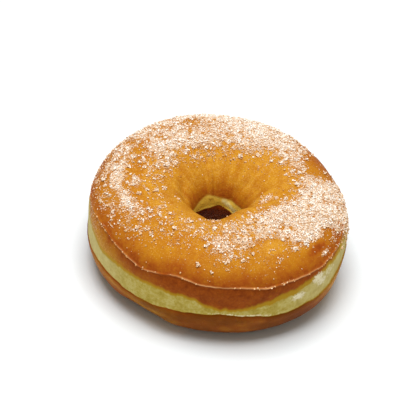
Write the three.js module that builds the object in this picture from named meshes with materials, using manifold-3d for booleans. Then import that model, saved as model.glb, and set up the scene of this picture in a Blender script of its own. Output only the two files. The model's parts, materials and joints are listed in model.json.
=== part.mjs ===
// A ring doughnut of fried dough with coarse sugar on its crown.
// Millimetres, +Z up, resting on z = 0, with the hole's axis close to the Z axis.
//
// A place on the skin is named by two angles, in degrees. The azimuth goes round the hole, with
// 0 at +X and 90 at +Y. The section angle goes round the dough: 0 on the outer wall where it is
// widest, 90 on the crown, 180 in the throat of the hole and 270 under the ring.

import * as THREE from 'three';
import { mergeVertices } from 'three/addons/utils/BufferGeometryUtils.js';
import Module from 'manifold-3d';

// Driving sizes
const OUTER_DIAMETER = 92;
const HEIGHT = 34.5;
const CROWN_RADIUS = 28.5;
const BASE_RADIUS = 27;
const THROAT_RADIUS = 8.6;
const WIDEST_HEIGHT = 22.9;
const THROAT_HEIGHT = 18.5;
const FLATTENED = 0.5; // how much of the round underside the ring's weight has pressed flat

// Fullness of the four quarters of the section: 2 is an ellipse, more is boxier
const SHOULDER_FULLNESS = 2.4;
const FOOT_FULLNESS = 3.5;
const FUNNEL_FULLNESS = 1.8;
const INNER_FOOT_FULLNESS = 2.3;

// The ring is a little out of round, and stands higher on one side
const OUTLINE_WAVES = [
  { lobes: 2, peak: 135, share: 0.0186 },
  { lobes: 3, peak: 88, share: 0.0212 },
];
const HIGH_SIDE = 180;
const HIGH_SIDE_SHARE = 0.011;

// Stretches where the inner wall bulges into the hole, by a reach in mm and a fuller funnel
const INNER_BULGES = [
  { at: 262, width: 55, reach: 1.5, fullness: 0.2 },
  { at: 318, width: 29, reach: 1.2, fullness: 1.0 },
  { at: 50, width: 15, reach: 1.1, fullness: 0 },
];

// Lines round the outer wall: a thin raised lip where the browned top ends, and the two edges of
// the pale band that never touched the oil. Each is a mean height with swells along the azimuth.
const LIP_LINE = {
  height: 27.8,
  swells: [
    { at: 209, width: 13, rise: 1.5 },
    { at: 238, width: 7, rise: -1.0 },
    { at: 256, width: 6, rise: 0.8 },
    { at: 296, width: 5, rise: -0.8 },
    { at: 348, width: 14, rise: 1.6 },
    { at: 60, width: 30, rise: 0.7 },
  ],
};
const BAND_TOP_LINE = {
  height: 21.3,
  swells: [
    { at: 190, width: 14, rise: 4.8 },
    { at: 274, width: 22, rise: -2.2 },
    { at: 322, width: 17, rise: 4.7 },
    { at: 348, width: 16, rise: 6.5 },
    { at: 100, width: 25, rise: 1.6 },
    { at: 150, width: 16, rise: -1.2 },
  ],
};
const BAND_FOOT_LINE = {
  height: 14.3,
  swells: [
    { at: 237, width: 15, rise: -2.1 },
    { at: 278, width: 10, rise: 1.4 },
    { at: 303, width: 8, rise: -1.0 },
    { at: 345, width: 16, rise: 6.0 },
    { at: 75, width: 22, rise: -1.2 },
    { at: 135, width: 14, rise: 1.6 },
  ],
};
const THROAT_BAND = { top: 168, foot: 184 };

// Relief of the skin, measured outwards from the plain section
const LIP_RISE = 0.4;
const LIP_HALF_WIDTH = 0.6;
const WALL_SETBACK = 0.22;
const WALL_RAMP = 0.7;
const FOOT_BULGE = 0.28;
const FOOT_RAMP = 0.9;
const FOOT_BULGE_DEPTH = 9;
const THROAT_STEP = 0.35;
const UNEVEN_WAVES = [
  { lobes: 2, turns: 1, phase: 40, rise: 0.22 },
  { lobes: 5, turns: -1, phase: 200, rise: 0.16 },
  { lobes: 9, turns: 2, phase: 90, rise: 0.09 },
];
const FLAT_BASE_FADE = 5; // height over which the unevenness fades into the flat underside

// Folds where the dough gathers towards the hole, each from one place on the skin to another
const FOLDS = [
  { from: [336, 160], to: [366, 106], halfWidth: 1.6, depth: 1.0 },
  { from: [165, 138], to: [198, 152], halfWidth: 2.0, depth: 0.6 },
  { from: [62, 172], to: [48, 140], halfWidth: 1.8, depth: 0.45 },
  { from: [112, 172], to: [109, 136], halfWidth: 0.9, depth: -0.5 },
  { from: [262, 170], to: [250, 128], halfWidth: 2.0, depth: 0.5 },
];
const FUNNEL_MM_PER_DEGREE = 0.3;

// A shallow dent in the browned foot
const HEEL_DENT = { azimuth: 238, section: -50, reach: [13, 24], strength: 1.1 };

// Sugar lies in patches on the crown, thickest to the right of and behind the hole. A strength is
// the share of the skin that a patch covers in its middle.
const SUGAR_PATCHES = [
  { azimuth: 352, section: 72, reach: [28, 32], strength: 1.0 },
  { azimuth: 0, section: 34, reach: [18, 26], strength: 0.75 },
  { azimuth: 330, section: 101, reach: [18, 16], strength: 0.75 },
  { azimuth: 304, section: 104, reach: [32, 17], strength: 0.68 },
  { azimuth: 327, section: 74, reach: [15, 15], strength: 0.8 },
  { azimuth: 320, section: 62, reach: [9, 6], strength: 0.6 },
  { azimuth: 310, section: 86, reach: [16, 10], strength: 0.4 },
  { azimuth: 277, section: 80, reach: [13, 18], strength: 0.45 },
  { azimuth: 262, section: 112, reach: [18, 22], strength: 0.3 },
  { azimuth: 238, section: 94, reach: [28, 20], strength: 0.32 },
  { azimuth: 216, section: 78, reach: [12, 18], strength: 0.4 },
  { azimuth: 203, section: 70, reach: [12, 9], strength: 0.85 },
  { azimuth: 188, section: 82, reach: [7, 10], strength: 0.75 },
  { azimuth: 183, section: 63, reach: [12, 9], strength: 0.8 },
  { azimuth: 196, section: 52, reach: [18, 16], strength: 0.3 },
  { azimuth: 190, section: 104, reach: [26, 14], strength: 0.2 },
  { azimuth: 168, section: 60, reach: [14, 22], strength: 0.5 },
  { azimuth: 168, section: 38, reach: [24, 26], strength: 0.3 },
  { azimuth: 150, section: 97, reach: [28, 20], strength: 0.5 },
  { azimuth: 136, section: 62, reach: [24, 38], strength: 0.7 },
  { azimuth: 108, section: 92, reach: [36, 16], strength: 0.65 },
  { azimuth: 98, section: 52, reach: [26, 26], strength: 0.85 },
  { azimuth: 71, section: 66, reach: [28, 38], strength: 0.97 },
  { azimuth: 105, section: 112, reach: [56, 16], strength: 0.36 },
  { azimuth: 44, section: 76, reach: [14, 22], strength: 0.6 },
  { azimuth: 28, section: 88, reach: [26, 14], strength: 0.5 },
  { azimuth: 12, section: 58, reach: [12, 14], strength: 0.4 },
  { azimuth: 2, section: 134, reach: [9, 9], strength: 0.4 },
  { azimuth: 198, section: 131, reach: [8, 4], strength: 0.4 },
  { azimuth: 290, section: 68, reach: [26, 20], strength: 0.2 },
  { azimuth: 333, section: 57, reach: [3, 5], strength: 0.8 },
  { azimuth: 328, section: 38, reach: [4, 4], strength: 0.7 },
];
const BARE_PATCHES = [
  { azimuth: 108, section: 66, reach: [12, 9], strength: 0.4 },
  { azimuth: 155, section: 73, reach: [6, 8], strength: 0.6 },
  { azimuth: 174, section: 82, reach: [6, 8], strength: 0.35 },
  { azimuth: 29, section: 58, reach: [12, 16], strength: 0.75 },
  { azimuth: 301, section: 72, reach: [10, 12], strength: 0.7 },
  { azimuth: 326, section: 47, reach: [12, 7], strength: 0.9 },
  { azimuth: 337, section: 52, reach: [4, 7], strength: 0.6 },
  { azimuth: 10, section: 105, reach: [14, 10], strength: 0.5 },
];
const SUGARED_SECTION = [40, 122];
const CLUMP_COUNT = 222;
const CLUMP_SPACING = 2.3;
const LARGEST_CLUMP = 1.5;
const SMALLEST_CLUMP = 0.9;
const CLUMP_PROPORTIONS = [1, 0.8, 0.7];
const CLUMP_STAND = 0.12; // height of a clump's middle above the skin, as a share of its size
const SUGAR_SEED = 95;

// Fineness of the skin: columns round the ring, and rows between its lines
const COLUMNS = 75;
const ROWS_FOOT = 8;
const ROWS_BAND = 2;
const ROWS_WALL = 2;
const ROWS_CROWN = 7;
const ROWS_FUNNEL = 8;
const ROWS_INNER_FOOT = 4;

const DOUGH_COLOUR = 0xc27d22;
const DOUGH_ROUGHNESS = 0.5;

const DEG = Math.PI / 180;

/** Smooth step from 0 to 1 as x goes from 0 to 1. */
function ramp(x) {
  const t = THREE.MathUtils.clamp(x, 0, 1);
  return t * t * (3 - 2 * t);
}

/** Signed turn in degrees from one azimuth to another, between -180 and 180. */
function turnBetween(azimuth, from) {
  return THREE.MathUtils.euclideanModulo(azimuth - from + 180, 360) - 180;
}

/** Repeatable random numbers between 0 and 1. */
function randomStream(seed) {
  let state = seed;
  return () => {
    state = (state + 0x6d2b79f5) | 0;
    let mixed = Math.imul(state ^ (state >>> 15), 1 | state);
    mixed = (mixed + Math.imul(mixed ^ (mixed >>> 7), 61 | mixed)) ^ mixed;
    return ((mixed ^ (mixed >>> 14)) >>> 0) / 2 ** 32;
  };
}

/** Height of one of the wall's lines at an azimuth. */
function lineHeight(line, azimuth) {
  return line.swells.reduce(
    (height, { at, width, rise }) =>
      height + rise * Math.exp(-((turnBetween(azimuth, at) / width) ** 2)),
    line.height,
  );
}

/** Radius of the ring's outline at an azimuth. */
function outlineRadius(azimuth) {
  const share = OUTLINE_WAVES.reduce(
    (sum, wave) => sum + wave.share * Math.cos(wave.lobes * (azimuth - wave.peak) * DEG),
    1,
  );
  return (OUTER_DIAMETER / 2) * share;
}

/** How much taller than the mean the ring is at an azimuth. */
function heightShare(azimuth) {
  return 1 + HIGH_SIDE_SHARE * Math.cos((azimuth - HIGH_SIDE) * DEG);
}

/** Radius of the throat, and fullness of the funnel over it, at an azimuth. */
function throatAt(azimuth) {
  const throat = { radius: THROAT_RADIUS, fullness: FUNNEL_FULLNESS };
  for (const bulge of INNER_BULGES) {
    const share = Math.exp(-((turnBetween(azimuth, bulge.at) / bulge.width) ** 2));
    throat.radius -= bulge.reach * share;
    throat.fullness += bulge.fullness * share;
  }
  return throat;
}

/** The plain section, a superellipse quarter by quarter: radius and height at a section angle. */
function plainSection(azimuth, section) {
  const across = Math.cos(section * DEG);
  const up = Math.sin(section * DEG);
  const outer = across >= 0;
  const upper = up >= 0;
  const throat = throatAt(azimuth);
  const outerFullness = upper ? SHOULDER_FULLNESS : FOOT_FULLNESS;
  const innerFullness = upper ? throat.fullness : INNER_FOOT_FULLNESS;
  const fullness = outer ? outerFullness : innerFullness;
  const scale = (Math.abs(across) ** fullness + Math.abs(up) ** fullness) ** (-1 / fullness);
  const middle = upper ? CROWN_RADIUS : BASE_RADIUS;
  const reach = outer ? outlineRadius(azimuth) - middle : middle - throat.radius;
  const level = outer ? WIDEST_HEIGHT : THROAT_HEIGHT;
  const rise = upper ? HEIGHT - level : level + FLATTENED;
  return {
    radius: middle + reach * across * scale,
    height: Math.max(level + rise * up * scale, 0) * heightShare(azimuth),
  };
}

/** Section angle at which the outer wall passes a height. */
function sectionAtHeight(azimuth, height) {
  const above = height / heightShare(azimuth) - WIDEST_HEIGHT;
  const upper = above >= 0;
  const up = above / (upper ? HEIGHT - WIDEST_HEIGHT : WIDEST_HEIGHT + FLATTENED);
  const fullness = upper ? SHOULDER_FULLNESS : FOOT_FULLNESS;
  const across = (1 - Math.abs(up) ** fullness) ** (1 / fullness);
  return Math.atan2(up, across) / DEG;
}

/** How strongly a place lies inside a patch, from 0 to the patch's strength. */
function patchStrength(azimuth, section, patch) {
  const round = turnBetween(azimuth, patch.azimuth) / patch.reach[0];
  const across = (section - patch.section) / patch.reach[1];
  return patch.strength * Math.exp(-((round ** 2 + across ** 2) ** 2));
}

/** Distance along the skin from a place to a fold's line, in mm. */
function distanceToFold(azimuth, section, radius, fold) {
  const [[startAzimuth, startSection], [endAzimuth, endSection]] = [fold.from, fold.to];
  const place = new THREE.Vector2(
    turnBetween(azimuth, startAzimuth) * DEG * radius,
    (section - startSection) * FUNNEL_MM_PER_DEGREE,
  );
  const line = new THREE.Vector2(
    (endAzimuth - startAzimuth) * DEG * radius,
    (endSection - startSection) * FUNNEL_MM_PER_DEGREE,
  );
  const along = THREE.MathUtils.clamp(place.dot(line) / line.lengthSq(), 0, 1);
  return place.distanceTo(line.multiplyScalar(along));
}

/** How far the skin stands out from the plain section at a place. */
function relief(azimuth, section, radius, height) {
  const waves = UNEVEN_WAVES.reduce((sum, { lobes, turns, phase, rise }) => {
    return sum + rise * Math.sin((lobes * azimuth + turns * section + phase) * DEG);
  }, 0);
  let out = waves * ramp(height / FLAT_BASE_FADE);
  if (Math.cos(section * DEG) > 0) {
    const aboveLip = height - lineHeight(LIP_LINE, azimuth);
    const aboveFoot = height - lineHeight(BAND_FOOT_LINE, azimuth);
    out += LIP_RISE * Math.exp(-((aboveLip / LIP_HALF_WIDTH) ** 2));
    out -= WALL_SETBACK * ramp(-aboveLip / WALL_RAMP) * ramp(aboveFoot / FOOT_RAMP + 1);
    out += FOOT_BULGE * ramp(-aboveFoot / FOOT_RAMP) * (1 - ramp(-aboveFoot / FOOT_BULGE_DEPTH));
    out -= patchStrength(azimuth, section, HEEL_DENT);
  } else {
    out += THROAT_STEP * ramp((section - THROAT_BAND.foot) / 4) * ramp(height / FLAT_BASE_FADE);
    for (const fold of FOLDS) {
      const distance = distanceToFold(azimuth, section, radius, fold);
      out -= fold.depth * Math.exp(-((distance / fold.halfWidth) ** 2));
    }
  }
  return out;
}

/** Direction square to the plain section, in its own plane. */
function sectionNormal(azimuth, section) {
  const step = 0.5;
  const before = plainSection(azimuth, section - step);
  const after = plainSection(azimuth, section + step);
  return new THREE.Vector2(after.height - before.height, before.radius - after.radius).normalize();
}

/** A point of the skin, and the direction out of the dough there. */
function skinPlace(azimuth, section) {
  const { radius, height } = plainSection(azimuth, section);
  const normal = sectionNormal(azimuth, section);
  const out = relief(azimuth, section, radius, height);
  const heading = new THREE.Vector3(Math.cos(azimuth * DEG), Math.sin(azimuth * DEG), 0);
  const point = heading.clone().multiplyScalar(radius + normal.x * out);
  point.z = Math.max(height + normal.y * out, 0);
  const outwards = heading.multiplyScalar(normal.x);
  outwards.z = normal.y;
  return { point, outwards };
}

/** Section angles of the skin's rows at an azimuth, in step with the wall's lines. */
function rowSections(azimuth) {
  const lip = lineHeight(LIP_LINE, azimuth);
  const foot = lineHeight(BAND_FOOT_LINE, azimuth);
  const stations = [
    { section: -90, rows: ROWS_FOOT },
    { section: sectionAtHeight(azimuth, foot - FOOT_RAMP), rows: 1 },
    { section: sectionAtHeight(azimuth, foot), rows: ROWS_BAND },
    { section: sectionAtHeight(azimuth, lineHeight(BAND_TOP_LINE, azimuth)), rows: ROWS_WALL },
    { section: sectionAtHeight(azimuth, lip - WALL_RAMP), rows: 1 },
    { section: sectionAtHeight(azimuth, lip), rows: 1 },
    { section: sectionAtHeight(azimuth, lip + LIP_HALF_WIDTH * 1.5), rows: ROWS_CROWN },
    { section: 90, rows: ROWS_FUNNEL },
    { section: THROAT_BAND.top, rows: 1 },
    { section: THROAT_BAND.foot, rows: ROWS_INNER_FOOT },
    { section: 270, rows: 0 },
  ];
  return stations.flatMap(({ section, rows }, index) =>
    Array.from({ length: rows }, (_, row) =>
      THREE.MathUtils.lerp(section, stations[index + 1].section, row / rows),
    ),
  );
}

/** The bare dough: a closed grid of rows and columns. */
function doughGeometry() {
  const positions = [];
  const indices = [];
  let rows = 0;
  for (let column = 0; column < COLUMNS; column += 1) {
    const azimuth = (column / COLUMNS) * 360;
    const sections = rowSections(azimuth);
    rows = sections.length;
    for (const section of sections) {
      positions.push(...skinPlace(azimuth, section).point);
    }
  }
  const corner = (column, row) => (column % COLUMNS) * rows + (row % rows);
  for (let column = 0; column < COLUMNS; column += 1) {
    for (let row = 0; row < rows; row += 1) {
      const near = corner(column, row);
      const beside = corner(column + 1, row);
      const above = corner(column, row + 1);
      const across = corner(column + 1, row + 1);
      indices.push(near, beside, across, near, across, above);
    }
  }
  const geometry = new THREE.BufferGeometry();
  geometry.setAttribute('position', new THREE.Float32BufferAttribute(positions, 3));
  geometry.setIndex(indices);
  return geometry;
}

/** Share of the skin that sugar covers at a place. */
function sugarCover(azimuth, section) {
  const leftBy = (patches) =>
    patches.reduce((left, patch) => left * (1 - patchStrength(azimuth, section, patch)), 1);
  return (1 - leftBy(SUGAR_PATCHES)) * leftBy(BARE_PATCHES);
}

/** Places for the clumps, spread over the sugared skin with a least spacing. */
function clumpPlaces(random) {
  const [lowest, highest] = SUGARED_SECTION;
  const places = [];
  while (places.length < CLUMP_COUNT) {
    const azimuth = random() * 360;
    const section = THREE.MathUtils.lerp(lowest, highest, random());
    const place = skinPlace(azimuth, section);
    const evenness = Math.hypot(place.point.x, place.point.y) / (OUTER_DIAMETER / 2);
    const wanted = random() < sugarCover(azimuth, section) * evenness;
    const clear = places.every(({ point }) => point.distanceTo(place.point) > CLUMP_SPACING);
    if (wanted && clear) {
      places.push(place);
    }
  }
  return places;
}

/** One clump of sugar, a small tumbled block half sunk in the skin. */
function clumpGeometry({ point, outwards }, size, random) {
  const crystal = new THREE.BoxGeometry(1, 1, 1);
  crystal.deleteAttribute('normal');
  crystal.deleteAttribute('uv');
  const geometry = mergeVertices(crystal);
  const tumble = new THREE.Euler(random() * 360 * DEG, random() * 360 * DEG, random() * 360 * DEG);
  const middle = outwards.clone().multiplyScalar(size * CLUMP_STAND).add(point);
  geometry.applyMatrix4(
    new THREE.Matrix4().compose(
      middle,
      new THREE.Quaternion().setFromEuler(tumble),
      new THREE.Vector3(...CLUMP_PROPORTIONS).multiplyScalar(size),
    ),
  );
  return geometry;
}

const wasm = await Module();
wasm.setup();

/** A closed geometry as a solid that can be joined. */
function toSolid(geometry) {
  return new wasm.Manifold(
    new wasm.Mesh({
      numProp: 3,
      vertProperties: Float32Array.from(geometry.getAttribute('position').array),
      triVerts: Uint32Array.from(geometry.getIndex().array),
    }),
  );
}

/** A joined solid as a geometry. */
function toGeometry(solid) {
  const mesh = solid.getMesh();
  const geometry = new THREE.BufferGeometry();
  geometry.setAttribute('position', new THREE.Float32BufferAttribute(mesh.vertProperties, 3));
  geometry.setIndex(Array.from(mesh.triVerts));
  return geometry;
}

/** The dough with its clumps of sugar fused on, the largest first. */
function sugaredGeometry() {
  const random = randomStream(SUGAR_SEED);
  const sugared = clumpPlaces(random).reduce((solid, place, index) => {
    const size = THREE.MathUtils.lerp(LARGEST_CLUMP, SMALLEST_CLUMP, index / CLUMP_COUNT);
    return solid.add(toSolid(clumpGeometry(place, size, random)));
  }, toSolid(doughGeometry()));
  return toGeometry(sugared);
}

/** Puts the geometry's middle over the origin. */
function centreOverOrigin(geometry) {
  geometry.computeBoundingBox();
  const middle = geometry.boundingBox.getCenter(new THREE.Vector3());
  return geometry.translate(-middle.x, -middle.y, 0);
}

const geometry = centreOverOrigin(sugaredGeometry());
geometry.computeVertexNormals();
const doughnut = new THREE.Mesh(
  geometry,
  new THREE.MeshStandardMaterial({
    color: DOUGH_COLOUR,
    roughness: DOUGH_ROUGHNESS,
    metalness: 0,
  }),
);
doughnut.name = 'doughnut';

const part = new THREE.Group();
part.add(doughnut);

export default part;
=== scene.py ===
"""A sugared ring doughnut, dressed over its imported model.

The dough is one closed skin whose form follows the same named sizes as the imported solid, made
finer: a browned crown, a thin raised lip round its shoulder, a pale band round the wall and down
the throat, and a browned foot. Sugar lies on the crown in clumps and as four sorts of crystal.

A place on the skin is named by two angles, in degrees. The azimuth goes round the hole, with 0 at
+X and 90 at +Y. The section angle goes round the dough: 0 on the outer wall where it is widest,
90 on the crown, 180 in the throat of the hole and 270 under the ring. Sizes are in millimetres
until a mesh is made, and in metres from then on.
"""

import json
import logging
import math
from dataclasses import dataclass, field
from enum import Enum, IntEnum
from typing import Any, Callable, Iterable, Sequence

import bmesh
import bpy
import numpy as np
from mathutils import Euler, Matrix, Vector, noise

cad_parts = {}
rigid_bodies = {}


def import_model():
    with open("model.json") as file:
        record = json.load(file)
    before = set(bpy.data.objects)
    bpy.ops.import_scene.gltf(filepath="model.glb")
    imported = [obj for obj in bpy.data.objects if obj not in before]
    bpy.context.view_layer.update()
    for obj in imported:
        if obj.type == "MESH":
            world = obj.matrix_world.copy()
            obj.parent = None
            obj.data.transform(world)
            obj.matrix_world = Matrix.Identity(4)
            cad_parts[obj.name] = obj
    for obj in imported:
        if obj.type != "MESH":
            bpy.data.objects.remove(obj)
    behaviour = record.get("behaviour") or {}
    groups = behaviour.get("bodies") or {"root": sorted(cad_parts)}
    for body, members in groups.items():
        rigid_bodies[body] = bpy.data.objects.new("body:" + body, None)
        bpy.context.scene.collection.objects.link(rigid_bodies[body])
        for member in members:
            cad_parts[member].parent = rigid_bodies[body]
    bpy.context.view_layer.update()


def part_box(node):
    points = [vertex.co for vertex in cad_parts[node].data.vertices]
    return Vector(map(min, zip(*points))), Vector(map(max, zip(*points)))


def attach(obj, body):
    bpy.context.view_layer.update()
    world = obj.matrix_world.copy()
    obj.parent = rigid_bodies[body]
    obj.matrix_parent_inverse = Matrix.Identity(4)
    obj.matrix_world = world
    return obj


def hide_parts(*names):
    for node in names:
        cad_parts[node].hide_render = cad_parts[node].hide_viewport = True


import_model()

LOG = logging.getLogger("doughnut")
MM = 0.001
RIM_RADIUS = 45.0
NOISE_STEP = (17.3, -9.1, 5.7)
NODE = "doughnut"
BODY = "root"
SKIN_ATTRIBUTES = (
    "browning",
    "stain",
    "paleness",
    "dryness",
    "torn",
    "steamed",
    "glow",
    "lip",
    "haze",
    "underside",
)

Array = np.ndarray


# Small helpers


def linear(hex_colour: str) -> tuple[float, float, float, float]:
    """Turns an sRGB hex colour into the linear values that the shaders take.

    Args:
        hex_colour: the colour as six hex digits, such as "E9AE4C".

    Returns:
        Red, green, blue and an alpha of 1.
    """
    parts = [int(hex_colour[start : start + 2], 16) / 255 for start in (0, 2, 4)]
    red, green, blue = (c / 12.92 if c <= 0.04045 else ((c + 0.055) / 1.055) ** 2.4 for c in parts)
    return red, green, blue, 1.0


def add_node(
    tree: bpy.types.NodeTree, kind: str, inputs: dict | None = None, **settings: Any
) -> Any:
    """Adds a node with its settings, input values and links.

    Args:
        tree: the node tree that takes the node.
        kind: the node's type name.
        inputs: input name or number, to a value or to the socket that feeds it.
        settings: attributes of the node itself.

    Returns:
        The new node.
    """
    node = tree.nodes.new(kind)
    for name, value in settings.items():
        setattr(node, name, value)
    for key, value in (inputs or {}).items():
        if isinstance(value, bpy.types.NodeSocket):
            tree.links.new(value, node.inputs[key])
        else:
            node.inputs[key].default_value = value
    return node


def ramp(x: Array) -> Array:
    """Smooth step from 0 to 1 as x goes from 0 to 1."""
    t = np.clip(x, 0, 1)
    return t * t * (3 - 2 * t)


def turn_between(azimuth: Array, start: float) -> Array:
    """Signed turn in degrees from one azimuth to another, between -180 and 180."""
    return (azimuth - start + 180) % 360 - 180


def field_noise(points: Array, wavelength: float, seed: int, octaves: int = 3) -> Array:
    """Fractal noise at points of space.

    Args:
        points: positions in mm, one to a row.
        wavelength: size of the largest lumps of the noise, in mm.
        seed: number that picks the part of the noise.
        octaves: how many finer layers are added.

    Returns:
        A value of about -1 to 1 for each point.
    """
    offset = Vector([step * seed for step in NOISE_STEP])
    values = [
        noise.fractal(Vector(point) / wavelength + offset, 1.0, 2.0, octaves)
        for point in points.reshape(-1, 3)
    ]
    return np.array(values).reshape(points.shape[:-1])


class NoiseSeed(IntEnum):
    """Which part of the noise each pattern of the skin takes, so that no two are alike."""

    LIP = 3
    BAND_TOP = 5
    BAND_FOOT = 8
    LIP_FLAKES = 11
    LIP_SHINE = 19
    CRUMB = 21
    TORN_CRUMB = 23
    LUMPS = 31
    DRIFTS = 33
    CLODS = 35
    WRINKLES = 41
    FOOT_STREAKS = 47
    FIBRES = 51


def random_stream(seed: int) -> Callable[[], float]:
    """Repeatable random numbers between 0 and 1, the same as the solid's clumps are placed by.

    Args:
        seed: the stream's starting number.

    Returns:
        A function that gives the next number.
    """
    state = seed

    def multiply(a: int, b: int) -> int:
        """Product of two whole numbers, kept to its lowest 32 bits."""
        return (a * b) & 0xFFFFFFFF

    def draw() -> float:
        """Moves the state on and mixes it, as the mulberry32 generator does.

        Returns:
            The next number, from 0 up to 1.
        """
        nonlocal state
        state = (state + 0x6D2B79F5) & 0xFFFFFFFF
        mixed = multiply(state ^ (state >> 15), 1 | state)
        mixed = ((mixed + multiply(mixed ^ (mixed >> 7), 61 | mixed)) & 0xFFFFFFFF) ^ mixed
        return (mixed ^ (mixed >> 14)) / 2**32

    return draw


# The form of the dough


@dataclass(frozen=True)
class Swell:
    """A rounded rise or dip of a line round the wall: its azimuth, width and rise."""

    at: float
    width: float
    rise: float


@dataclass(frozen=True)
class WallLine:
    """A line round the outer wall: a mean height, its swells and a fine crinkle."""

    height: float
    swells: tuple[Swell, ...]
    crinkle: float = 0.0
    crinkle_length: float = 3.0
    seed: int = 1

    def height_at(self, azimuth: Array, crinkled: bool = True) -> Array:
        """Height of the line.

        Args:
            azimuth: azimuths in degrees.
            crinkled: whether the fine crinkle is added.

        Returns:
            Heights in mm.
        """
        azimuth = np.asarray(azimuth, float)
        height = np.full(azimuth.shape, self.height)
        for swell in self.swells:
            height += swell.rise * np.exp(-((turn_between(azimuth, swell.at) / swell.width) ** 2))
        if crinkled and self.crinkle:
            height += self.crinkle * rim_noise(azimuth, self.crinkle_length, self.seed)
        return height


def rim_noise(azimuth: Array, wavelength: float, seed: int) -> Array:
    """Noise that runs round the rim and closes on itself.

    Args:
        azimuth: azimuths in degrees.
        wavelength: length of the largest waves along the rim, in mm.
        seed: number that picks the part of the noise.

    Returns:
        A value of about -1 to 1 for each azimuth.
    """
    angle = np.radians(azimuth)
    rim = np.stack([np.cos(angle), np.sin(angle), np.zeros(angle.shape)], axis=-1) * RIM_RADIUS
    return field_noise(rim, wavelength, seed)


def on_wall(section: Array) -> Array:
    """Whether places lie on the outer side of the ring and not on the side of its hole."""
    return np.cos(np.radians(section)) > 0


@dataclass(frozen=True)
class Fold:
    """A groove in the funnel between two places, or a ridge where the depth is under 0."""

    start: tuple[float, float]
    end: tuple[float, float]
    half_width: float
    depth: float


@dataclass(frozen=True)
class Bulge:
    """A stretch where the inner wall bulges into the hole.

    It has an azimuth, a width, a reach into the hole and a share of extra fullness.
    """

    at: float
    width: float
    reach: float
    fullness: float

    def share(self, azimuth: Array) -> Array:
        """How much of the bulge shows at an azimuth, from 0 to 1."""
        return np.exp(-((turn_between(azimuth, self.at) / self.width) ** 2))


@dataclass(frozen=True)
class Patch:
    """A soft oval patch of the skin: its middle, its reach both ways and its strength."""

    azimuth: float
    section: float
    reach: tuple[float, float]
    strength: float = 1.0

    def at(self, azimuth: Array, section: Array) -> Array:
        """How strongly places lie inside the patch.

        Args:
            azimuth: azimuths in degrees.
            section: section angles in degrees.

        Returns:
            Values from 0 to the patch's strength.
        """
        across = turn_between(azimuth, self.azimuth) / self.reach[0]
        down = (section - self.section) / self.reach[1]
        return self.strength * np.exp(-((across**2 + down**2) ** 2))


def strongest(patches: Iterable[Patch], azimuth: Array, section: Array) -> Array:
    """How strongly places lie inside the patch that holds them most."""
    return np.max([patch.at(azimuth, section) for patch in patches], axis=0)


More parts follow.
